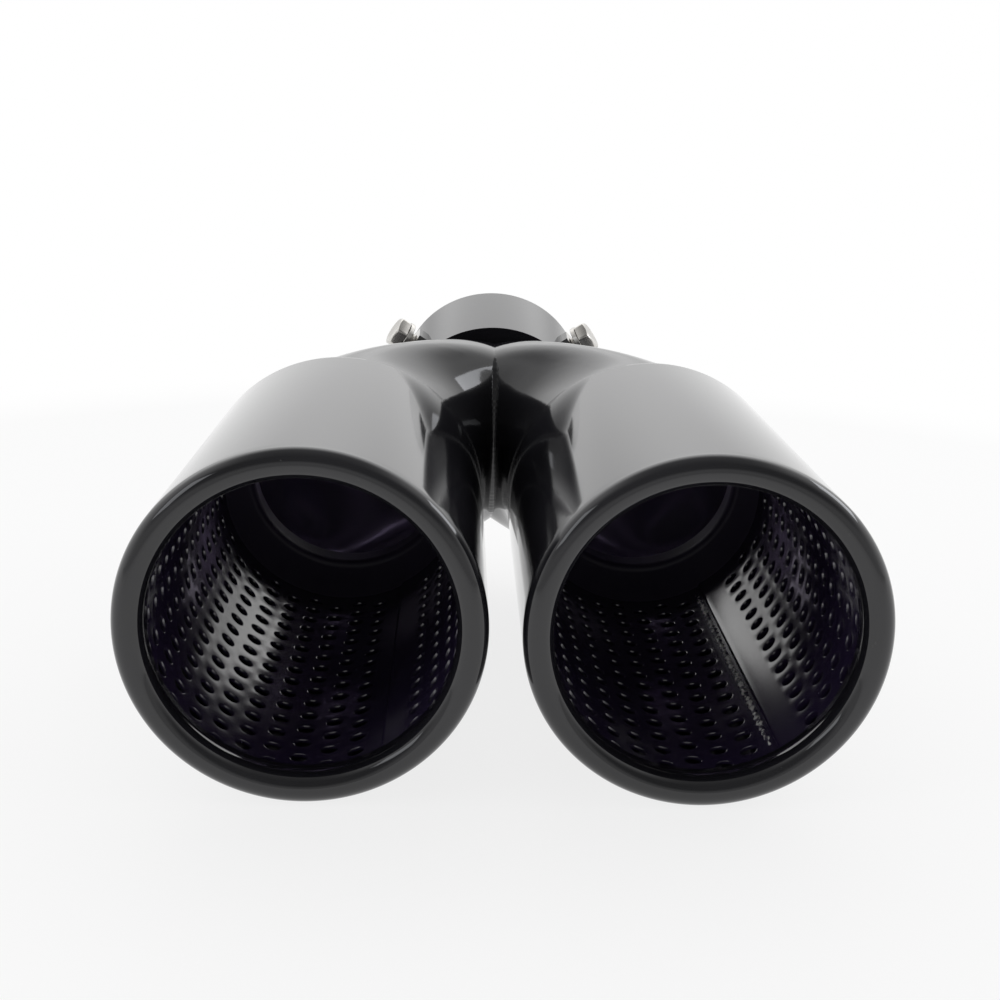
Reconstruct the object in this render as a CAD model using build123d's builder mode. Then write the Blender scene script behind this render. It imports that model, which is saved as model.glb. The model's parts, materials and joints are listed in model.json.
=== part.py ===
from build123d import *
import os
from math import cos, radians, sin, tan

# Twin exhaust tip: two barrels side by side, joined by a Y of two branches to one inlet tube.
# The origin is the centre of the inlet's rear mouth, the outlets face -Y and +Z is up.
# Sizes are in mm and angles in degrees.

# Outlet barrels
barrel_gap = 8.0  # between the two sleeves
barrel_length = 126.9  # along the axis, from the middle of the rolled lip to the mitred rear end
sleeve_radius = 45.0
sleeve_sheet = 1.2
lip_width = 7.6  # across the rolled lip
lip_return = 4.0  # short wall behind the lip, inside the liner

# Perforated liners
liner_sheet = 1.0
liner_lead = 0.8  # the liner starts this far behind the middle of the lip
hole_diameter = 4.5
hole_pitch = 25.1  # along the barrel
hole_rows = 11
row_step = 32.19  # from row to row, round the barrel
hole_lead = 8.0  # lip to the first hole centre
hole_tail = 12.0  # last hole centre to the rear end
seam_angle = -57.5  # edge of the lengthwise lap, from +X towards +Z
seam_arc = 10.0  # width of the lap, round the barrel
seam_sheet = 0.8
seam_margin = 16.5  # lap edge to the first row of holes

# Baffle rings
ring_sheet = 1.2
mouth_radius = 30.6
mouth_raise = 5.0
mouth_inset = 1.5  # towards the middle of the part
collar_length = 6.0
collar_round = 2.2

# Branches of the Y, as elliptical sections from the mitre to the neck. A run is a part of the neck's,
# and the centre, half width and half height go from the neck's (0) to those at the mitre (1).
branch_sheet = 1.5
branch_step = 0.4  # radial, from the sleeve's outside in to the branch's
shoulder_run = 0.172
shoulder_swing = 0.914
shoulder_width = 0.862
shoulder_height = 0.886
crest_run = 0.379
crest_swing = 0.727
crest_width = 0.736
crest_height = 0.773
waist_run = 0.586
waist_swing = 0.416
waist_width = 0.672
waist_height = 0.648
throat_run = 0.776
throat_swing = 0.182
throat_width = 0.477
throat_height = 0.409
neck_run = 58.0
neck_swing = 0.102  # part of the barrels' spread
neck_drop = 4.5  # from the inlet's bore in to the neck's half height
neck_seat = 0.7  # how far the neck's sides overlap the inlet's front edge

# Inlet tube
inlet_bore = 31.5
inlet_sheet = 1.5
inlet_length = 31.2
inlet_tilt = 15.5  # the tail end of the part rises by this
neck_plate = 1.5  # sheet that closes the inlet's front round the neck

# Clamp bolts, M6
bolt_angle = 54.5  # from the top of the inlet
bolt_setback = 18.5  # from the rear mouth
bolt_radius = 2.95
bolt_length = 8.0
bolt_play = 0.05  # radial, bolt in weld nut
bolt_flats = 10.0
head_height = 4.0
head_face = 9.5  # across the flat round top
head_slope = 60.0  # of the bevelled top's side, from the bolt's axis
head_gap = {"left": 7.2, "right": 6.6}  # under the head, above the inlet's wall
tip_chamfer = 0.6
nut_flats = 10.0
nut_height = 3.2
wall_hole_play = 0.4  # radial, bolt in the inlet's wall
washer_radius = 5.7
washer_play = 0.2  # radial, washer on the bolt
washer_sheet = 1.6
washer_slit = 0.8
head_clearance = 0.05  # washer to head

# Sizes that follow from those
spread = sleeve_radius + barrel_gap / 2
sleeve_bore = sleeve_radius - sleeve_sheet
lip_roll = lip_width / 2
lip_middle = sleeve_radius - lip_roll
lip_bore = sleeve_radius - lip_width
liner_bore = lip_bore + sleeve_sheet
liner_radius = liner_bore + liner_sheet
root_radius = sleeve_radius - branch_step
root_bore = root_radius - branch_sheet
inlet_radius = inlet_bore + inlet_sheet
neck_offset = neck_swing * spread
neck_half_width = inlet_bore + neck_seat - neck_offset
neck_half_height = inlet_bore - neck_drop
tail_reach = neck_run + inlet_length
mitre_tilt = inlet_tilt / 2
mitre_rise = tan(radians(mitre_tilt))
mitre_overrun = sleeve_radius * mitre_rise + sleeve_sheet
mitre_y = -tail_reach * cos(radians(inlet_tilt))
mitre_z = -tail_reach * sin(radians(inlet_tilt))
nut_bore = bolt_radius + bolt_play
nut_seat = inlet_sheet
hole_start = liner_bore - seam_sheet - liner_sheet
hole_cut = liner_radius + liner_sheet - hole_start
hole_first = barrel_length - hole_lead
hole_last = hole_tail + liner_radius * mitre_rise

os.makedirs("parts", exist_ok=True)


# Section of a branch: run from the mitre, centre from the middle of the part, half width and half height.
def section(run, swing, width, height):
    return (
        run * neck_run,
        neck_offset + swing * (spread - neck_offset),
        neck_half_width + width * (root_radius - neck_half_width),
        neck_half_height + height * (root_radius - neck_half_height),
    )


# Plane across a line that rises by a tilt towards the rear: x to the right, y up, z towards the outlets.
def facing_outlets(origin, tilt):
    forward = (0, -cos(radians(tilt)), -sin(radians(tilt)))
    return Plane(origin=origin, x_dir=(1, 0, 0), z_dir=forward)


# Distances of the hole centres from the mitre, for a row that starts a part of a pitch late.
def hole_places(late):
    first = hole_first - late * hole_pitch
    count = int((first - hole_last) / hole_pitch) + 1
    return [(first - place * hole_pitch, 0) for place in range(count)]


# Gives a finished piece its name and writes it.
def keep(piece, name):
    piece.part.label = name
    export_step(piece.part, f"parts/{name}.step")


sections = [
    section(shoulder_run, shoulder_swing, shoulder_width, shoulder_height),
    section(crest_run, crest_swing, crest_width, crest_height),
    section(waist_run, waist_swing, waist_width, waist_height),
    section(throat_run, throat_swing, throat_width, throat_height),
    section(1, 0, 0, 0),
]
throat, neck = sections[-2:]
past_neck = branch_sheet / (neck[0] - throat[0])
beyond_neck = [last + (last - before) * past_neck for before, last in zip(throat, neck)]
tail = facing_outlets((0, 0, 0), inlet_tilt)
bolt_planes = []

for name, side in (("left", -1), ("right", 1)):
    middle = Vector(side * spread, mitre_y, mitre_z)
    barrel = facing_outlets(middle, 0)
    mitre = facing_outlets(middle, mitre_tilt)
    lengthwise = Plane(origin=middle, x_dir=(1, 0, 0), z_dir=(0, 0, 1))

    # Sleeve with its rolled lip
    with BuildPart() as sleeve:
        with BuildSketch(lengthwise):
            with BuildLine():
                Polyline(
                    (lip_bore, -barrel_length),
                    (lip_bore, lip_return - barrel_length),
                    (liner_bore, lip_return - barrel_length),
                    (liner_bore, -barrel_length),
                )
                ThreePointArc(
                    (liner_bore, -barrel_length),
                    (lip_middle, sleeve_sheet - lip_roll - barrel_length),
                    (sleeve_bore, -barrel_length),
                )
                Polyline(
                    (sleeve_bore, -barrel_length),
                    (sleeve_bore, mitre_overrun),
                    (sleeve_radius, mitre_overrun),
                    (sleeve_radius, -barrel_length),
                )
                ThreePointArc(
                    (sleeve_radius, -barrel_length),
                    (lip_middle, -lip_roll - barrel_length),
                    (lip_bore, -barrel_length),
                )
            make_face()
        revolve(axis=Axis(middle, (0, 1, 0)))
        split(bisect_by=mitre, keep=Keep.TOP)
    keep(sleeve, f"{name}_sleeve")

    # Liner with its lap and its holes, in rows that stand half a pitch apart
    with BuildPart() as liner:
        with BuildSketch(barrel.offset(-mitre_overrun)):
            Circle(liner_radius)
            Circle(liner_bore, mode=Mode.SUBTRACT)
        extrude(amount=mitre_overrun + barrel_length - liner_lead)
        with BuildSketch(barrel.offset(-mitre_overrun)):
            with BuildLine():
                wall_side = CenterArc((0, 0), liner_bore + liner_sheet / 2, seam_angle, seam_arc)
                open_side = CenterArc((0, 0), liner_bore - seam_sheet, seam_angle, seam_arc)
                Line(wall_side @ 0, open_side @ 0)
                Line(wall_side @ 1, open_side @ 1)
            make_face()
        extrude(amount=mitre_overrun + barrel_length - lip_return - liner_lead)
        split(bisect_by=mitre.offset(ring_sheet), keep=Keep.TOP)
        for late in (0, 1):
            rows = []
            for row in range(late, hole_rows, 2):
                angle = radians(seam_angle + seam_margin + row * row_step)
                outward = Vector(cos(angle), 0, sin(angle))
                rows.append(Plane(origin=middle + outward * hole_start, x_dir=(0, -1, 0), z_dir=outward))
            with BuildSketch(*rows):
                with Locations(*hole_places(late / 2)):
                    Circle(hole_diameter / 2)
            extrude(amount=hole_cut, mode=Mode.SUBTRACT)
    keep(liner, f"{name}_liner")

    # Baffle ring with its raised mouth, turned back into a collar
    mouth = (-side * mouth_inset, mouth_raise)
    with BuildPart() as ring:
        with BuildSketch(mitre):
            Circle(sleeve_radius)
        extrude(amount=ring_sheet)
        with BuildSketch(barrel.offset(-mitre_overrun)):
            Circle(sleeve_bore)
        extrude(amount=2 * mitre_overrun, mode=Mode.INTERSECT)
        with BuildSketch(mitre):
            with Locations(mouth):
                Circle(mouth_radius + ring_sheet)
        extrude(amount=-collar_length)
        with BuildSketch(mitre.offset(-collar_length)):
            with Locations(mouth):
                Circle(mouth_radius)
        extrude(amount=collar_length + ring_sheet, mode=Mode.SUBTRACT)
        rims = ring.edges().filter_by(GeomType.CIRCLE).sort_by(lambda rim: rim.radius)[:2]
        fillet(rims.sort_by(Axis.Y)[0], collar_round)
    keep(ring, f"{name}_baffle_ring")

    # Branch: a shell that swings from the sleeve's rear edge in to the neck, cut along the middle of the part
    with BuildPart() as hollow:
        for plane in (mitre.offset(branch_sheet), mitre):
            with BuildSketch(plane):
                Ellipse(root_bore, root_bore / cos(radians(mitre_tilt)))
        for run, offset_x, half_width, half_height in (*sections, beyond_neck):
            with BuildSketch(tail.offset(tail_reach - run)):
                with Locations((side * offset_x, 0)):
                    Ellipse(half_width - branch_sheet, half_height - branch_sheet)
        loft()
    with BuildPart() as branch:
        with BuildSketch(mitre):
            Ellipse(root_radius, root_radius / cos(radians(mitre_tilt)))
        for run, offset_x, half_width, half_height in sections:
            with BuildSketch(tail.offset(tail_reach - run)):
                with Locations((side * offset_x, 0)):
                    Ellipse(half_width, half_height)
        loft()
        add(hollow.part, mode=Mode.SUBTRACT)
        split(bisect_by=Plane.YZ, keep=Keep.TOP if side > 0 else Keep.BOTTOM)
    keep(branch, f"{name}_branch")

    # Weld nut, washer and bolt stand straight out from the inlet tube
    lean = radians(bolt_angle)
    outward = tail.x_dir * (side * sin(lean)) + tail.y_dir * cos(lean)
    foot = Plane(origin=tail.from_local_coords((0, 0, bolt_setback)), x_dir=tail.z_dir, z_dir=outward)
    bolt_planes.append(foot)
    head_base = foot.offset(inlet_radius + head_gap[name])

    with BuildPart() as nut:
        with BuildSketch(foot.offset(inlet_radius - nut_seat)):
            RegularPolygon(nut_flats / 2, 6, major_radius=False)
            Circle(nut_bore, mode=Mode.SUBTRACT)
        extrude(amount=nut_seat + nut_height)
        with BuildSketch(tail):
            Circle(inlet_radius)
        extrude(amount=inlet_length, mode=Mode.SUBTRACT)
    keep(nut, f"{name}_weld_nut")

    with BuildPart() as washer:
        with BuildSketch(head_base.offset(-head_clearance)):
            Circle(washer_radius)
            Circle(bolt_radius + washer_play, mode=Mode.SUBTRACT)
            with Locations((washer_radius / 2, 0)):
                Rectangle(washer_radius, washer_slit, mode=Mode.SUBTRACT)
        extrude(amount=-washer_sheet)
    keep(washer, f"{name}_spring_washer")

    with BuildPart() as bolt:
        with BuildSketch(head_base):
            RegularPolygon(bolt_flats / 2, 6, major_radius=False)
        extrude(amount=head_height)
        with BuildSketch(head_base.offset(head_height)):
            Circle(head_face / 2)
        extrude(amount=-head_height, taper=-head_slope, mode=Mode.INTERSECT)
        with BuildSketch(head_base):
            Circle(bolt_radius)
        extrude(amount=-bolt_length)
        ends = bolt.faces().sort_by(Axis(foot.origin, foot.z_dir))
        chamfer(ends[0].edges(), tip_chamfer)
    keep(bolt, f"{name}_clamp_bolt")

# Inlet tube, closed round the neck at its front, with a plain hole under each weld nut
with BuildPart() as inlet:
    with BuildSketch(tail):
        Circle(inlet_radius)
        Circle(inlet_bore, mode=Mode.SUBTRACT)
    extrude(amount=inlet_length)
    with BuildSketch(tail.offset(inlet_length)):
        Circle(inlet_bore)
        with Locations((-neck_offset, 0), (neck_offset, 0)):
            Ellipse(neck_half_width - branch_sheet, neck_half_height - branch_sheet, mode=Mode.SUBTRACT)
    extrude(amount=-neck_plate)
    with BuildSketch(*[plane.offset(inlet_bore - inlet_sheet) for plane in bolt_planes]):
        Circle(bolt_radius + wall_hole_play)
    extrude(amount=inlet_radius - inlet_bore + 2 * inlet_sheet, mode=Mode.SUBTRACT)
keep(inlet, "inlet_tube")
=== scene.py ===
import json
from math import asin, atan2, cos, pi, radians, sin, tan

import bpy
import numpy as np
from mathutils import Matrix, Vector


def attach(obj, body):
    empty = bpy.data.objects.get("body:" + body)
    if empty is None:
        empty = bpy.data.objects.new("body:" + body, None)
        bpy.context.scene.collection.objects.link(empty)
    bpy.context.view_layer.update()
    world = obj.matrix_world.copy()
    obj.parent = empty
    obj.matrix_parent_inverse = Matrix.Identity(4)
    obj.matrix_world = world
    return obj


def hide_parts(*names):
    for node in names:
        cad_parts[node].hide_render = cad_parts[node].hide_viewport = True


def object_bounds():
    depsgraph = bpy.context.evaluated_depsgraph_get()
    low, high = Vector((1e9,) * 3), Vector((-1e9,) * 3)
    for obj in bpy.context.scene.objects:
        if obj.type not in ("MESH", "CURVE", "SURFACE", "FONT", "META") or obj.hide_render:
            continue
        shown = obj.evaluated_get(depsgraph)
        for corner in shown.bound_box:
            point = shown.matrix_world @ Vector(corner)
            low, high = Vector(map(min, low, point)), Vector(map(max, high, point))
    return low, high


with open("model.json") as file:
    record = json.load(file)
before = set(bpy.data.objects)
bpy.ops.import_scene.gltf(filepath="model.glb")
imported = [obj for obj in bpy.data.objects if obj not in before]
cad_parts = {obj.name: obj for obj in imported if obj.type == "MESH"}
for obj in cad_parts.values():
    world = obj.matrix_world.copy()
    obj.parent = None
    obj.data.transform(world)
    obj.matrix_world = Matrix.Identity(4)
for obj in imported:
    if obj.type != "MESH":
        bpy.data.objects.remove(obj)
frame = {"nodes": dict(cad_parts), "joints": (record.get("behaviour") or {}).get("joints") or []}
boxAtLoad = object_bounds()
nodes = frame["nodes"]
boltTurns = [joint for joint in frame["joints"] if joint["name"].endswith("_bolt_turn")]
print("frame loaded:", len(nodes), "nodes")

# Main sizes in mm, the same as the solids'. The part's origin is the inlet's rear mouth.
mm = 0.001
tip = {"spread": 49.0, "length": 126.9, "reach": 89.2, "tilt": radians(15.5)}
mitreRise = tan(tip["tilt"] / 2)
mitreY = -tip["reach"] * cos(tip["tilt"])
mitreZ = -tip["reach"] * sin(tip["tilt"])
lipY = mitreY - tip["length"]
sides = {"left": -1, "right": 1}


# A socket of a node tree, so that shader maths reads as plain maths.
class Wire:
    def __init__(self, tree, socket):
        self.tree = tree
        self.socket = socket

    def maths(self, operation, *values, clamp=False):
        return self.tree.add("ShaderNodeMath", {"operation": operation, "use_clamp": clamp}, *values)

    def __add__(self, other):
        return self.maths("ADD", self, other)

    def __radd__(self, other):
        return self.maths("ADD", other, self)

    def __sub__(self, other):
        return self.maths("SUBTRACT", self, other)

    def __rsub__(self, other):
        return self.maths("SUBTRACT", other, self)

    def __mul__(self, other):
        return self.maths("MULTIPLY", self, other)

    def __rmul__(self, other):
        return self.maths("MULTIPLY", other, self)

    def __truediv__(self, other):
        return self.maths("DIVIDE", self, other)

    def __rtruediv__(self, other):
        return self.maths("DIVIDE", other, self)

    def __pow__(self, other):
        return self.maths("POWER", self, other)

    def __rpow__(self, other):
        return self.maths("POWER", other, self)

    def clamped(self):
        return self.maths("ADD", self, 0.0, clamp=True)

    # 0 below low, 1 above high, and smooth between them
    def between(self, low, high):
        return self.tree.add("ShaderNodeMapRange", {"interpolation_type": "SMOOTHSTEP"},
                             self, low, high, 0.0, 1.0)


# The node tree of a material or of the world.
class Tree:
    def __init__(self, owner):
        owner.use_nodes = True
        self.nodes = owner.node_tree.nodes
        self.links = owner.node_tree.links
        self.nodes.clear()

    # One node: its settings are set first, then its sockets by place or by name
    def add(self, kind, settings=None, *values, out=0, **named):
        node = self.nodes.new(kind)
        for key, value in (settings or {}).items():
            setattr(node, key, value)
        for key, value in [*enumerate(values), *named.items()]:
            socket = node.inputs[key if isinstance(key, int) else key.replace("_", " ")]
            if isinstance(value, Wire):
                self.links.new(value.socket, socket)
            elif value is not None:
                socket.default_value = value
        return Wire(self, node.outputs[out]) if node.outputs else None

    def place(self):
        return self.add("ShaderNodeTexCoord", out="Object")

    def facing(self):
        return self.parts(self.add("ShaderNodeTexCoord", out="Normal"))

    def parts(self, vector):
        split = self.add("ShaderNodeSeparateXYZ", None, vector)
        return [Wire(self, socket) for socket in split.socket.node.outputs]

    def noise(self, vector, scale, detail=2.0, roughness=0.5):
        return self.add("ShaderNodeTexNoise", None, Vector=vector, Scale=scale, Detail=detail,
                        Roughness=roughness)

    def mixed(self, factor, low, high):
        otherKinds = [None] * 5  # the node's sockets for numbers and vectors
        return self.add("ShaderNodeMix", {"data_type": "RGBA"}, factor, *otherKinds, low, high, out=2)

    def bump(self, height, strength, distance, normal=None):
        return self.add("ShaderNodeBump", None, Strength=strength, Distance=distance, Height=height,
                        Normal=normal, out="Normal")

    def surface(self, shader, kind="ShaderNodeOutputMaterial"):
        self.add(kind, None, shader)


def grey(level, tint=(1, 1, 1)):
    return (level * tint[0], level * tint[1], level * tint[2], 1)


# Shading of a sheet that narrows a little to the rear, and more so past its middle
def leaning(tree, place, look):
    along = tree.parts(place)[1]
    past = along.maths("MAXIMUM", along - look["curveFrom"], 0.0)
    return tree.bump(along * tan(radians(look["lean"])) + past * past * look["curve"], 1.0, 1.0)


# Gloss black paint: nearly black, with faint orange peel, uneven gloss and a little dust.
# Where the mask called bare is 1, what lies under the paint shows.
def blackPaint(name, look, bare=None):
    material = bpy.data.materials.new(name)
    tree = Tree(material)
    place = tree.place()
    cloud = tree.noise(place, look["cloudScale"], 3.0)
    peel = tree.noise(place, look["peelScale"], 1.0)
    specks = tree.noise(place, look["speckScale"], 2.0, 0.6)
    dust = specks.between(*look["dustSpan"]) * look["dust"]
    colour = tree.mixed(cloud.between(*look["cloudSpan"]), look["dark"], look["light"])
    colour = tree.mixed(dust, colour, look["dustColour"])
    shine = look["rough"] + (cloud - 0.5) * look["roughSpread"] + dust * look["dustRough"]
    lean = leaning(tree, place, look) if "lean" in look else None
    normal = tree.bump(peel, look["peel"], look["peelDeep"], lean)
    metal = 0.0
    coat = look["coat"]
    if bare:
        worn = bare(tree, place, cloud)
        colour = tree.mixed(worn, colour, look["bareColour"])
        shine = shine * (1 - worn) + worn * look["bareRough"]
        metal = worn * look["bareMetal"]
        coat = (1 - worn) * coat
    tree.surface(tree.add("ShaderNodeBsdfPrincipled", None, Base_Color=colour, Roughness=shine.clamped(),
                          IOR=look["ior"], Metallic=metal, Coat_Weight=coat,
                          Coat_Roughness=look["coatRough"], Normal=normal))
    return material


# Inside of the branches: 1 where the surface looks towards the middle of its own passage
passage = {"length": 58.0, "neckSpread": 5.0, "inward": (0.002, 0.006), "bareLeast": 0.85}


def insideBranch(tree, place, cloud):
    x, y, z = tree.parts(place)
    facing = tree.facing()
    run = (tip["reach"] * mm + y * cos(tip["tilt"]) + z * sin(tip["tilt"])) / (passage["length"] * mm)
    sway = (tip["spread"] - passage["neckSpread"]) * mm
    middle = x.maths("SIGN", x) * (passage["neckSpread"] * mm + sway * (1 - run.between(0.0, 1.0)))
    inward = (middle - x) * facing[0] + (y * tan(tip["tilt"]) - z) * facing[2]
    least = passage["bareLeast"]
    return inward.between(*passage["inward"]) * (least + (1 - least) * cloud)


# Weld nuts: paint is off the outer face, in patches
nutWear = {"face": (0.35, 0.6), "patches": (0.3, 0.45)}


def bareNut(tree, place, cloud):
    x = tree.parts(place)[0]
    facing = tree.facing()
    axis = boltTurns[0]["axis"]
    outward = x.maths("SIGN", x) * facing[0] * abs(axis[0]) + facing[1] * axis[1] + facing[2] * axis[2]
    return outward.between(*nutWear["face"]) * cloud.between(*nutWear["patches"])


# Weld along the lap: scale shows in pale spots
lapSpots = {"scale": 520.0, "span": (0.44, 0.54)}


def bareSpots(tree, place, cloud):
    return tree.noise(place, lapSpots["scale"], 2.0, 0.6).between(*lapSpots["span"])


# Zinc-plated steel: a fine grain in its gloss, with duller clouds.
def steel(name, look):
    material = bpy.data.materials.new(name)
    tree = Tree(material)
    place = tree.place()
    fine = tree.noise(place, look["fineScale"], 3.0, 0.6)
    cloud = tree.noise(place, look["cloudScale"], 2.0)
    colour = tree.mixed(cloud.between(*look["cloudSpan"]), look["dark"], look["light"])
    shine = look["rough"] + (fine - 0.5) * look["roughSpread"]
    normal = tree.bump(fine, look["bump"], look["bumpDeep"])
    tree.surface(tree.add("ShaderNodeBsdfPrincipled", None, Base_Color=colour, Roughness=shine.clamped(),
                          Metallic=1.0, Normal=normal))
    return material


gloss = {"dark": grey(0.0095, (1, 0.98, 1.2)), "light": grey(0.0145, (1, 0.97, 1.2)),
         "cloudScale": 18.0, "cloudSpan": (0.35, 0.65), "rough": 0.07, "roughSpread": 0.05, "ior": 1.5,
         "coat": 0.35, "coatRough": 0.03, "peelScale": 520.0, "peel": 0.05, "peelDeep": 0.00005,
         "speckScale": 900.0, "dustSpan": (0.74, 0.8), "dust": 0.25, "dustRough": 0.5,
         "dustColour": grey(0.25), "bareColour": grey(0.7, (1, 0.985, 0.97)), "bareRough": 0.13,
         "bareMetal": 1.0}
dusk = {**gloss, "dark": grey(0.019, (0.95, 0.62, 1.8)), "light": grey(0.026, (0.95, 0.64, 1.8))}
paints = {
    "sleeve": blackPaint("sleevePaint", gloss),
    "branch": blackPaint("branchPaint", {**gloss, "rough": 0.09, "peel": 0.07,
                                         "bareColour": grey(0.5, (1, 0.9, 1.15))}, insideBranch),
    "inlet": blackPaint("inletPaint", {**gloss, "rough": 0.1, "peel": 0.06}),
    "liner": blackPaint("linerPaint", {**dusk, "rough": 0.17, "roughSpread": 0.1, "peel": 0.08, "coat": 0.0,
                                       "ior": 2.0, "lean": 5.7, "curveFrom": (lipY + 45.0) * mm,
                                       "curve": 0.35}),
    "ring": blackPaint("ringPaint", {**dusk, "rough": 0.5, "roughSpread": 0.1, "coat": 0.0}),
    "bead": blackPaint("beadPaint", {**gloss, "rough": 0.14, "peel": 0.3, "peelScale": 900.0}),
    "lap": blackPaint("lapPaint", {**dusk, "rough": 0.4, "peel": 0.6, "peelScale": 1300.0, "coat": 0.0,
                                   "bareColour": grey(0.9, (1, 0.98, 0.95)), "bareRough": 0.5,
                                   "bareMetal": 0.0}, bareSpots),
    "nut": blackPaint("nutPaint", {**gloss, "rough": 0.12,
                                   "bareColour": grey(0.6, (1, 0.98, 0.95))}, bareNut),
}
zinc = {"dark": grey(0.5, (1, 0.97, 0.92)), "light": grey(0.66, (1, 0.975, 0.93)), "cloudScale": 160.0,
        "cloudSpan": (0.35, 0.7), "fineScale": 1400.0, "rough": 0.28, "roughSpread": 0.2, "bump": 0.15,
        "bumpDeep": 0.00004}
metals = {"bolt": steel("boltSteel", zinc), "washer": steel("washerSteel", {**zinc, "rough": 0.32})}
print("materials made")


def spaced(first, last, steps):
    return [first + (last - first) * k / steps for k in range(steps + 1)]


# A mesh object from points in mm, with like points joined and edges over the angle kept sharp.
joinWithin = 0.002


def makePiece(name, points, faces, material, body, node=None, sharp=50.0):
    points = np.asarray(points, float)
    grid = np.round(points / joinWithin).astype(np.int64)
    first, back = np.unique(grid, axis=0, return_index=True, return_inverse=True)[1:]
    back = back.reshape(-1)
    joined = []
    for face in faces:
        loop = [back[i] for i in face]
        loop = [p for p, q in zip(loop, loop[1:] + loop[:1]) if p != q]
        if len(loop) > 2:
            joined.append(loop)
    mesh = bpy.data.meshes.new(name)
    mesh.from_pydata((points[first] * mm).tolist(), [], joined)
    mesh.shade_smooth()
    mesh.set_sharp_from_angle(angle=radians(sharp))
    mesh.materials.append(material)
    piece = bpy.data.objects.new(name, mesh)
    bpy.context.scene.collection.objects.link(piece)
    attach(piece, body)
    if node:
        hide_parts(node)


# Faces between rings of points that all have the same count. A closed one joins its last ring to its first.
def skin(rings, count, start=0, closedAlong=False, closedRound=True):
    faces = []
    for ring in range(rings if closedAlong else rings - 1):
        this, following = start + ring * count, start + (ring + 1) % rings * count
        for i in range(count if closedRound else count - 1):
            j = (i + 1) % count
            faces.append((this + i, this + j, following + j, following + i))
    return faces


# Sleeves: one sheet rolled in at the lip, cut at the mitre, and a hair inside the solids' box
sleeve = {"radius": 44.999, "sheet": 1.2, "lip": 7.6, "inset": 0.013, "return": 4.0, "straight": 3.0,
          "turns": 256, "lipSteps": 32, "edge": 0.2, "hold": 1.0, "sharp": 70.0}


def sleeveProfile(s):
    roll = s["lip"] / 2
    middle = s["radius"] - roll
    small = roll - s["sheet"]
    bore = middle - roll
    inner = s["radius"] - s["sheet"]
    e = s["edge"]
    hold = s["hold"]  # a ring this far off keeps the shading straight beside an edge
    bend = spaced(0.0, pi, s["lipSteps"])
    # radius, distance behind the lip, and 1 where the distance is from the mitre instead
    line = [(s["radius"] - e, 0.0, 1), (s["radius"], -e, 1), (s["radius"], -hold, 1)]
    line += [(s["radius"], s["straight"], 0)]
    line += [(middle + roll * cos(a), -(roll - s["inset"]) * sin(a), 0) for a in bend]
    line += [(bore, s["return"] - e, 0), (bore + e, s["return"], 0)]
    line += [(bore + s["sheet"] - e, s["return"], 0), (bore + s["sheet"], s["return"] - e, 0)]
    line += [(middle - small * cos(a), -small * sin(a), 0) for a in bend]
    line += [(inner, -hold, 1), (inner, -e, 1), (inner + e, 0.0, 1)]
    return line


def buildSleeve(name, side, s):
    profile = sleeveProfile(s)
    points = []
    for radius, along, atMitre in profile:
        for i in range(s["turns"]):
            turn = 2 * pi * i / s["turns"]
            high = radius * sin(turn)
            start = mitreY - high * mitreRise if atMitre else lipY
            points.append((side * tip["spread"] + radius * cos(turn), start + along, mitreZ + high))
    faces = skin(len(profile), s["turns"], closedAlong=True)
    makePiece(name + "SleeveShell", points, faces, paints["sleeve"], "tip",
              name + "_sleeve", s["sharp"])


for name, side in sides.items():
    buildSleeve(name, side, sleeve)
print("sleeves built")

# Liners: perforated sheet with a lengthwise lap, in rows that stand half a pitch apart
liner = {"bore": 38.6, "sheet": 1.0, "lead": 0.8, "hole": 2.25, "pitch": 8.367, "rowStep": radians(10.73),
         "rows": 32, "cellsRound": 6, "cellsAlong": 8, "rimWide": 0.3, "rimLip": 0.05, "rimRise": 0.02,
         "rimDeep": 0.07, "rearGap": 1.2, "rearMargin": 2.0, "rearSteps": 4, "lapDeep": 0.8,
         "lapArc": radians(200), "edgeArc": 0.03, "edgeSteps": 5, "seamGap": 0.0006,
         "stripFront": 4.2, "stripSteps": 12, "stripLines": (4, 6), "sharp": 60.0}
linerLay = {
    "right": {"side": 1, "firstRow": radians(-40.72), "firstHole": 7.156, "seam": radians(-57.5)},
    "left": {"side": -1, "firstRow": radians(-44.4), "firstHole": 6.016, "seam": radians(-60.9)},
}
cellStep = liner["pitch"] / liner["cellsAlong"]
halfCell = liner["cellsAlong"] // 2


def linerRear(turn):
    return tip["length"] - liner["bore"] * sin(turn) * mitreRise - liner["rearGap"]


# The sheet spirals in towards its lapped end, whose edge is rounded over
def linerPoint(lay, turn, along, depth):
    past = (turn - lay["seam"]) % (2 * pi)
    drop = liner["lapDeep"] * max(0.0, 1 - past / liner["lapArc"])
    if past < liner["edgeArc"]:
        drop *= (1 - (1 - past / liner["edgeArc"]) ** 2) ** 0.5
    radius = liner["bore"] + depth - drop * (1 - depth / liner["sheet"])
    return (lay["side"] * tip["spread"] + radius * cos(turn), lipY + along, mitreZ + radius * sin(turn))


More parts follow.
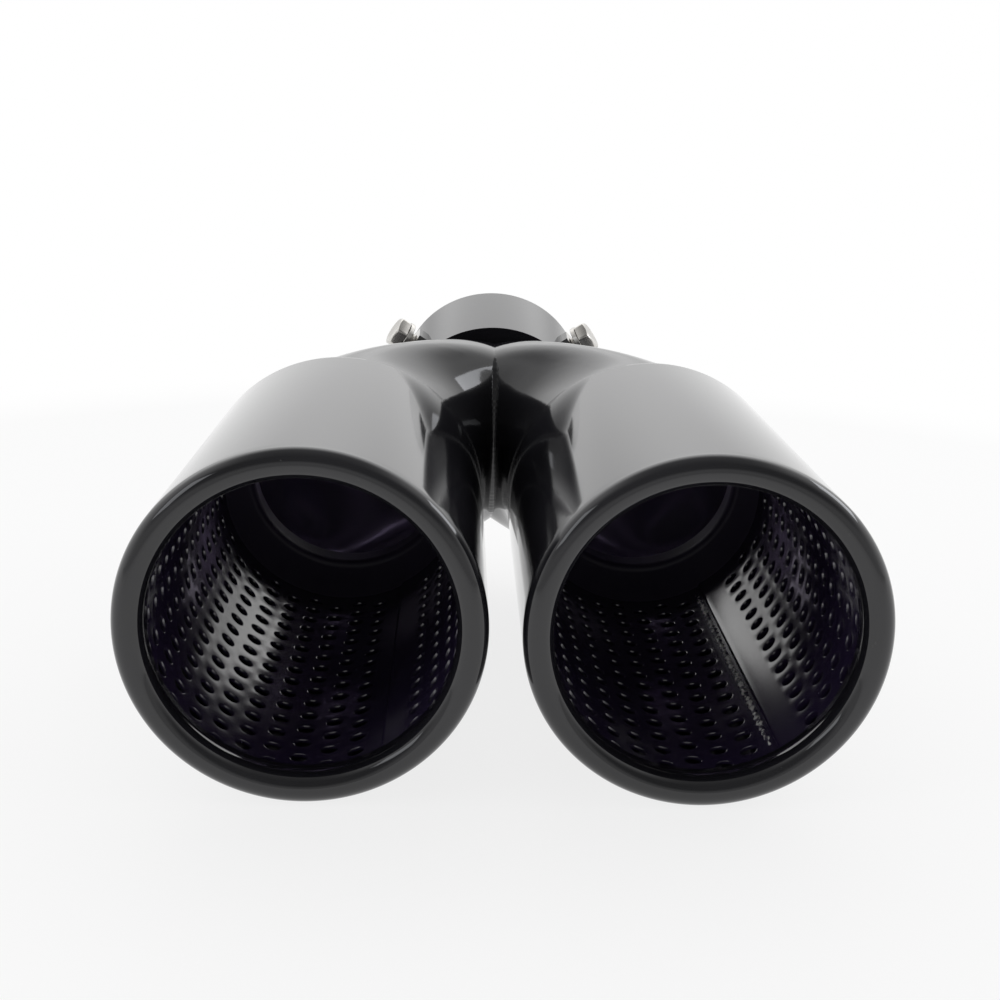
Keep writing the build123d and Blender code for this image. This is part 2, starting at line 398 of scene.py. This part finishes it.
# One hole's cell, from its border on the inside, over the rim and through the sheet, to its border outside
def holeCell(lay, turn, along, lines):
    inner = liner["bore"]
    border = []
    acrossSteps = liner["cellsRound"]
    for j in range(-halfCell, halfCell):
        border.append((lines[0], along + j * cellStep))
    for i in range(acrossSteps):
        border.append((lines[i], along + halfCell * cellStep))
    for j in range(halfCell, -halfCell, -1):
        border.append((lines[acrossSteps], along + j * cellStep))
    for i in range(acrossSteps, 0, -1):
        border.append((lines[i], along - halfCell * cellStep))
    points = [linerPoint(lay, t, y, 0.0) for t, y in border]
    angles = [atan2((t - turn) * inner, y - along) for t, y in border]
    rim = ((liner["rimWide"], 0.0), (liner["rimLip"], liner["rimRise"]),
           (0.0, liner["rimDeep"]), (0.0, liner["sheet"]))
    for wider, depth in rim:
        radius = liner["hole"] + wider
        for a in angles:
            points.append(linerPoint(lay, turn + radius * sin(a) / inner, along + radius * cos(a), depth))
    points += [linerPoint(lay, t, y, liner["sheet"]) for t, y in border]
    return points, skin(len(rim) + 2, len(border))


# A plain patch of sheet, inside and outside: each line runs round the barrel's axis, through its own ends
def plainPatch(lay, lines, ends, closeFront=False, closeRear=False):
    points, faces = [], []
    count = len(lines)
    rows = len(ends[0])
    for depth in (0.0, liner["sheet"]):
        start = len(points)
        for r in range(rows):
            for c in range(count):
                points.append(linerPoint(lay, lines[c], ends[c][r], depth))
        made = skin(rows, count, start, closedRound=False)
        faces += made if depth == 0 else [face[::-1] for face in made]
    outside = rows * count
    for shut, row in ((closeFront, 0), (closeRear, rows - 1)):
        if shut:
            for c in range(count - 1):
                a, b = row * count + c, row * count + c + 1
                faces.append((a, b, outside + b, outside + a))
    return points, faces


# One lengthwise row: plain sheet at the lip, a cell for each hole, and plain sheet up to the slanted rear
def linerRow(lay, row):
    cells = liner["cellsRound"]
    turn = lay["firstRow"] + row * liner["rowStep"]
    lines = [turn + (c / cells - 0.5) * liner["rowStep"] for c in range(cells + 1)]
    first = lay["firstHole"] + (row % 2) * liner["pitch"] / 2
    lead = first - halfCell * cellStep
    rear = min(linerRear(t) for t in (lines[0], lines[-1])) - liner["rearMargin"]
    count = int((rear - lead) / liner["pitch"])
    frontRows = max(int((lead - liner["lead"]) / cellStep), 1)
    front = [liner["lead"]] + [lead - (frontRows - 1 - k) * cellStep for k in range(frontRows)]
    end = lead + count * liner["pitch"]
    backs = [spaced(end, linerRear(t), liner["rearSteps"]) for t in lines]
    made = [plainPatch(lay, lines, [front] * len(lines), closeFront=True)]
    made += [holeCell(lay, turn, first + k * liner["pitch"], lines) for k in range(count)]
    made.append(plainPatch(lay, lines, backs, closeRear=True))
    return made


# The plain strip with the lap, which steps in at the seam
def linerStrip(lay):
    low = lay["firstRow"] + (liner["rows"] - 0.5) * liner["rowStep"] - 2 * pi
    high = lay["firstRow"] - 0.5 * liner["rowStep"]
    seam, arc, steps = lay["seam"], liner["edgeArc"], liner["edgeSteps"]
    before, after = liner["stripLines"]
    lines = spaced(low, seam - liner["seamGap"], before)
    lines += [seam + arc * (1 - cos(k * pi / (2 * steps))) for k in range(steps + 1)]
    lines += spaced(seam + arc, high, after)[1:]
    ends = [[liner["lead"]] + spaced(liner["stripFront"], linerRear(t), liner["stripSteps"]) for t in lines]
    return plainPatch(lay, lines, ends, closeFront=True, closeRear=True)


def buildLiner(name, lay):
    points, faces = [], []
    made = [patch for row in range(liner["rows"]) for patch in linerRow(lay, row)]
    for patchPoints, patchFaces in made + [linerStrip(lay)]:
        start = len(points)
        points.extend(patchPoints)
        faces.extend(tuple(i + start for i in face) for face in patchFaces)
    makePiece(name + "LinerSheet", points, faces, paints["liner"], "tip",
              name + "_liner", liner["sharp"])


for name in sides:
    buildLiner(name, linerLay[name])
print("liners built")

# Clamp bolts: hexagon head with a dished, bevelled top, and a rolled thread
bolt = {"flat": 5.0, "corner": 5.62, "height": 4.0, "face": 4.75,
        "dish": ((1.9, 0.12), (3.85, 0.1), (4.4, 0.0)), "bevel": tan(radians(30)), "edge": 0.18,
        "soften": 0.01, "turns": 96, "length": 8.0, "crest": 2.95, "root": 2.45, "pitch": 1.0,
        "crestFlat": 0.1, "point": 0.6, "threadRound": 40, "threadSteps": 12, "sharp": 40.0}
# Spring washers: split rings whose ends stand a little apart
washer = {"inner": 3.15, "outer": 5.7, "sheet": 1.6, "gap": 0.05, "slit": 0.8, "rise": 0.04, "edge": 0.15,
          "turns": 72, "sharp": 40.0}


# Where a bolt sits: its axis is up, and the middle of the underside of its head is the origin
def boltFrame(joint):
    up = Vector(joint["axis"]).normalized()
    forward = Vector((0, -cos(tip["tilt"]), -sin(tip["tilt"])))
    across = up.cross(forward).normalized()
    place = Matrix((forward, across, up)).transposed().to_4x4()
    place.translation = Vector(joint["pos_m"]) / mm
    return place


def setDown(place, points):
    return [tuple(place @ Vector(p)) for p in points]


def headRings(b, turns):
    count = len(turns)
    e = b["edge"]
    reach = [min(b["flat"] / cos((t + pi / 6) % (pi / 3) - pi / 6), b["corner"]) for t in turns]
    tops = [b["height"] - (r - b["face"]) * b["bevel"] for r in reach]
    rings = [[(r, b["height"] - deep)] * count for r, deep in (*b["dish"], (b["face"], 0.0))]
    rings.append([(r - e, top + e * b["bevel"] - b["soften"]) for r, top in zip(reach, tops)])
    rings.append([(r, top - e) for r, top in zip(reach, tops)])
    rings.append([(r, e) for r in reach])
    rings.append([(r - e, 0.0) for r in reach])
    rings.append([(b["crest"], 0.0)] * count)
    return rings


def threadRadius(b, z, share):
    wave = abs(((z / b["pitch"] - share) % 1.0) * 2 - 1)
    wave = min(max((wave - b["crestFlat"]) / (1 - 2 * b["crestFlat"]), 0.0), 1.0)
    radius = b["root"] + (b["crest"] - b["root"]) * wave
    return min(radius, b["crest"] - max(0.0, -z - b["length"] + b["point"]))


def boltPoints(b):
    count = b["turns"]
    turns = [2 * pi * i / count for i in range(count)]
    rings = headRings(b, turns)
    points = [(r * cos(t), r * sin(t), z) for ring in rings for (r, z), t in zip(ring, turns)]
    faces = [face[::-1] for face in skin(len(rings), count)]
    top = len(points)
    points.append((0, 0, b["height"] - b["dish"][0][1]))
    faces += [(top, i, (i + 1) % count) for i in range(count)]
    start = len(points)
    around = b["threadRound"]
    steps = int(b["length"] / b["pitch"] * b["threadSteps"])
    for k in range(steps + 1):
        z = -b["length"] * k / steps
        for i in range(around):
            radius = threadRadius(b, z, i / around)
            points.append((radius * cos(2 * pi * i / around), radius * sin(2 * pi * i / around), z))
    faces += [face[::-1] for face in skin(steps + 1, around, start)]
    tail = len(points)
    points.append((0, 0, -b["length"]))
    last = start + steps * around
    faces += [(tail, last + (i + 1) % around, last + i) for i in range(around)]
    return points, faces


def washerPoints(w):
    points = []
    e = w["edge"]
    section = [(w["inner"] + e, 0), (w["outer"] - e, 0), (w["outer"], -e), (w["outer"], e - w["sheet"]),
               (w["outer"] - e, -w["sheet"]), (w["inner"] + e, -w["sheet"]), (w["inner"], e - w["sheet"]),
               (w["inner"], -e)]
    n = w["turns"]
    for k in range(n + 1):
        lift = w["rise"] * (2 * k / n - 1) - w["gap"]
        for radius, z in section:
            gap = asin(w["slit"] / 2 / radius)
            turn = gap + (2 * pi - 2 * gap) * k / n
            points.append((radius * cos(turn), radius * sin(turn), z + lift))
    count = len(section)
    faces = skin(n + 1, count)
    faces.append(tuple(range(count)))
    faces.append(tuple(n * count + i for i in reversed(range(count))))
    return points, faces


fasteners = {"bolt": ("_clamp_bolt", bolt, boltPoints), "washer": ("_spring_washer", washer, washerPoints)}
for joint in boltTurns:
    name = joint["name"].split("_")[0]
    place = boltFrame(joint)
    for label, (node, sizes, build) in fasteners.items():
        points, faces = build(sizes)
        makePiece(name + label.capitalize() + "Steel", setDown(place, points), faces, metals[label],
                  name + "_" + label, name + node, sizes["sharp"])
print("bolts and washers built")

# Weld beads: uneven half-round ridges along a line of points, which thin out at their ends
weld = {"round": 12, "wave": 1.7, "uneven": 0.6, "stray": 0.4, "endSteps": 12, "endWidth": 0.4, "sink": 0.15}
middleWeld = {"width": 1.5, "height": 1.0, "ripple": 0.07, "seed": 5, "first": 58.0, "last": -72.0,
              "steps": 130, "hub": (-0.2, -40.0, -11.1), "far": 90.0}
lapWeld = {"width": 0.8, "height": 0.38, "ripple": 0.3, "seed": 11, "beside": 0.04, "front": 6.0,
           "rear": 1.5, "steps": 140}


def beadPoints(line, ups, bead):
    chance = np.random.default_rng(bead["seed"])
    points = []
    last = len(line) - 1
    for k, (spot, up) in enumerate(zip(line, ups)):
        ahead = Vector(line[min(k + 1, last)]) - Vector(line[max(k - 1, 0)])
        side = ahead.cross(Vector(up)).normalized()
        uneven = chance.uniform(-weld["uneven"], weld["uneven"])
        swell = 1 + bead["ripple"] * (sin(k * weld["wave"]) + uneven)
        shift = chance.uniform(-weld["stray"], weld["stray"]) * bead["ripple"] * bead["width"]
        ends = min(1.0, k / weld["endSteps"], (last - k) / weld["endSteps"])
        wide = bead["width"] * swell * (weld["endWidth"] + (1 - weld["endWidth"]) * ends)
        high = bead["height"] * swell * ends
        for a in spaced(0.0, pi, weld["round"]):
            offset = side * (cos(a) * wide + shift) + Vector(up) * (sin(a) * high - weld["sink"])
            points.append(tuple(Vector(spot) + offset))
    return points, skin(len(line), weld["round"] + 1, closedRound=False)


# The front of the part in its middle plane, found by rays from all round on the left branch
def middleSeam(w):
    solid = nodes["left_branch"]
    back = solid.matrix_world.inverted()
    found = []
    for degrees in spaced(w["first"], w["last"], w["steps"]):
        a = radians(degrees)
        out = Vector((0, -cos(a), sin(a)))
        start = (Vector(w["hub"]) + out * w["far"]) * mm
        hit, spot = solid.ray_cast(back @ start, back.to_3x3() @ -out)[:2]
        if hit:
            found.append((solid.matrix_world @ spot) / mm)
    return found


def upright(line):
    ups = []
    for k in range(len(line)):
        ahead = line[min(k + 1, len(line) - 1)] - line[max(k - 1, 0)]
        ups.append(ahead.cross(Vector((1, 0, 0))).normalized())
    return ups


def buildMiddleBead(w):
    seam = middleSeam(w)
    print("middle seam found at", len(seam), "points")
    points, faces = beadPoints(seam, upright(seam), w)
    makePiece("middleWeldBead", points, faces, paints["bead"], "tip")


# The bead along the right liner's lap, which the paint covers only in places
def buildLapBead(w, lay):
    turn = lay["seam"] - w["beside"]
    alongs = spaced(w["front"], linerRear(turn) - w["rear"], w["steps"])
    line = [linerPoint(lay, turn, along, 0.0) for along in alongs]
    ups = [(-cos(turn), 0.0, -sin(turn))] * len(line)
    points, faces = beadPoints(line, ups, w)
    makePiece("rightLapBead", points, faces, paints["lap"], "tip")


buildMiddleBead(middleWeld)
buildLapBead(lapWeld, linerLay["right"])
print("weld beads built")

# Solids that show as they are take their paint
for node, paint in (("baffle_ring", "ring"), ("branch", "branch"), ("weld_nut", "nut")):
    for name in sides:
        nodes[f"{name}_{node}"].material_slots[0].material = paints[paint]
nodes["inlet_tube"].material_slots[0].material = paints["inlet"]
print("solids painted")

# Stage: a pale floor that keeps the shadow near the part and goes over into white further off; in front of
# the part its glow is a darker grey, a painted shade for the floor there
stage = {"gap": 0.00005, "reach": 3.0, "middleY": -0.12, "near": (0.16, 0.5), "white": 0.9, "rough": 0.6,
         "far": 1.0, "front": 0.58, "frontSpan": (0.3, 0.7), "lift": 0.82}


def floorMaterial():
    material = bpy.data.materials.new("floorWhite")
    tree = Tree(material)
    x, y = tree.parts(tree.place())[:2]
    away = ((x * x + (y - stage["middleY"]) ** 2.0) ** 0.5).between(*stage["near"])
    # painted shade: the floor's glow darkens to grey in front of the part, standing in for the shade that
    # lies there
    front = (0 - y).between(*stage["frontSpan"])
    tone = tree.mixed(front, grey(stage["far"]), grey(stage["front"]))
    glow = tree.add("ShaderNodeEmission", None, tone, 1.0)
    paper = tree.add("ShaderNodeBsdfPrincipled", None, Base_Color=grey(stage["white"]),
                     Roughness=stage["rough"])
    camera, glossy, through = [tree.add("ShaderNodeLightPath", out=kind)
                               for kind in ("Is Camera Ray", "Is Glossy Ray", "Is Transmission Ray")]
    lift = (camera + glossy + through).clamped() * stage["lift"]
    tree.surface(tree.add("ShaderNodeMixShader", None, away.maths("MAXIMUM", away, lift), paper, glow))
    return material


def buildFloor():
    mesh = bpy.data.meshes.new("floor")
    r, z = stage["reach"], boxAtLoad[0][2] - stage["gap"]
    mesh.from_pydata([(-r, -r, z), (r, -r, z), (r, r, z), (-r, r, z)], [], [(0, 1, 2, 3)])
    mesh.materials.append(floorMaterial())
    floor = bpy.data.objects.new("floor", mesh)
    bpy.context.scene.collection.objects.link(floor)


# Soft studio surround: white behind with a broad softbox above it, grey in front and overhead
studio = {"back": (-0.6, 0.1), "behind": 1.0, "softbox": 0.85, "softboxUp": (0.18, 0.5),
          "softboxBack": (0.15, 0.7), "overheadDrop": 0.65, "overhead": (0.72, 0.96), "ahead": 0.6,
          "aheadDrop": 0.4, "aheadUp": (0.06, 0.4)}


def buildWorld():
    world = bpy.data.worlds.new("studio")
    bpy.context.scene.world = world
    tree = Tree(world)
    y, z = tree.parts(tree.add("ShaderNodeTexCoord", out="Generated"))[1:]
    back = y.between(*studio["back"])
    softbox = z.between(*studio["softboxUp"]) * y.between(*studio["softboxBack"])
    overhead = z.between(*studio["overhead"])
    behind = studio["behind"] + studio["softbox"] * softbox - studio["overheadDrop"] * overhead
    ahead = studio["ahead"] - studio["aheadDrop"] * z.between(*studio["aheadUp"])
    level = back * behind + (1 - back) * ahead
    tone = tree.add("ShaderNodeVectorMath", {"operation": "SCALE"}, (1.0, 1.0, 1.0), Scale=level)
    tree.surface(tree.add("ShaderNodeBackground", None, tone, 1.0), "ShaderNodeOutputWorld")


# Two soft windows, one to the right and one to the front left
windows = {
    "sideWindow": {"place": (0.88, 0.08, 0.47), "target": (-0.01, -0.07, 0.01), "wide": 0.4, "tall": 0.34,
                   "radiance": 3.2, "tint": (0.93, 0.95, 1.0)},
    "frontWindow": {"place": (-0.75, -0.6, 0.42), "target": (0, -0.1, -0.02), "wide": 0.3, "tall": 0.36,
                    "radiance": 1.8, "tint": (0.93, 0.96, 1.0)},
}


def buildWindow(name, w):
    data = bpy.data.lights.new(name, "AREA")
    data.shape = "RECTANGLE"
    data.size = w["wide"]
    data.size_y = w["tall"]
    data.energy = w["radiance"] * pi * w["wide"] * w["tall"]
    data.color = w["tint"]
    item = bpy.data.objects.new(name, data)
    item.location = w["place"]
    item.rotation_euler = (Vector(w["target"]) - Vector(w["place"])).to_track_quat("-Z", "Y").to_euler()
    bpy.context.scene.collection.objects.link(item)


# Camera, as the photograph was taken: place in mm, angles in radians
view = {"place": (-12.450, -525.013, 95.755), "yaw": 0.0327266, "pitch": -0.2710052, "roll": 0.0253850,
        "lens": 49.96, "sensor": 36.0, "clip": (0.01, 20.0)}


def buildCamera():
    data = bpy.data.cameras.new("camera")
    data.lens = view["lens"]
    data.sensor_width = view["sensor"]
    data.clip_start, data.clip_end = view["clip"]
    camera = bpy.data.objects.new("camera", data)
    yaw, pitch, roll = view["yaw"], view["pitch"], view["roll"]
    ahead = Vector((sin(yaw) * cos(pitch), cos(yaw) * cos(pitch), sin(pitch)))
    level = Vector((cos(yaw), -sin(yaw), 0))
    plumb = level.cross(ahead)
    right = cos(roll) * level + sin(roll) * plumb
    up = cos(roll) * plumb - sin(roll) * level
    matrix = Matrix((right, up, -ahead)).transposed().to_4x4()
    matrix.translation = Vector(view["place"]) * mm
    camera.matrix_world = matrix
    bpy.context.scene.collection.objects.link(camera)
    bpy.context.scene.camera = camera


buildFloor()
buildWorld()
for name, window in windows.items():
    buildWindow(name, window)
buildCamera()
bpy.context.scene.view_settings.view_transform = "Standard"
print("stage, light and camera set")
